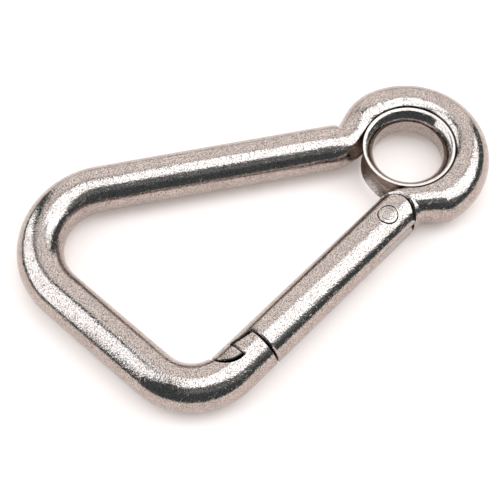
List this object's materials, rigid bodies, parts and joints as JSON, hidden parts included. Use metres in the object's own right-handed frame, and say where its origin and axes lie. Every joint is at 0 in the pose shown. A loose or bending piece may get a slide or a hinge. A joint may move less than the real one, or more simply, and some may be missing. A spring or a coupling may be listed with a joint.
{
  "type": "snap hook",
  "caption": "Asymmetric stainless snap hook bent from round bar, with a forged eye, a flared thimble and a gate that swings inwards and springs shut.",
  "frame": {"origin": "centre of the clear round hole through the eye's thimble, in the hook's middle plane", "axes": "+Z along the eye's bore, square to the flat of the hook; +X parallel to the closed gate, from the hook's nose towards the eye; +Y from the gate into the hook's opening"},
  "size_m": [0.0974, 0.0681, 0.01],
  "materials": {
    "forged_stainless": "tumbled, with a fine grain, small pits and a few nicks",
    "gate_stainless": "tumbled, with a fine grain and small pits",
    "rivet_stainless": "dressed flush, with a punched ring",
    "thimble_stainless": "bright, spun",
    "plunger_stainless": "turned",
    "spring_wire": "drawn spring wire"
  },
  "bodies": {
    "hook": {"hook_body": "forged_stainless", "eye_thimble": "thimble_stainless"},
    "gate": {"gate": "gate_stainless", "hinge_rivet": "rivet_stainless", "gate_spring": "spring_wire"},
    "plunger": {"spring_plunger": "plunger_stainless"}
  },
  "joints": [
    {"name": "gate_hinge", "type": "hinge", "parent": "hook", "child": "gate", "pos_m": [-0.01588, -0.00795, 0], "axis": [0, 0, -1], "range_deg": [0, 45], "stiffness_Nm_per_rad": 0.0127, "springref_deg": -89.95},
    {"name": "plunger_slide", "type": "slide", "parent": "gate", "child": "plunger", "axis": [-1, 0, 0], "range_m": [0, 0.00116], "deforming": ["gate_spring"]}
  ],
  "couplings": [
    {"joint": "plunger_slide", "follows": "gate_hinge", "m_per_rad": 0.0014617}
  ]
}
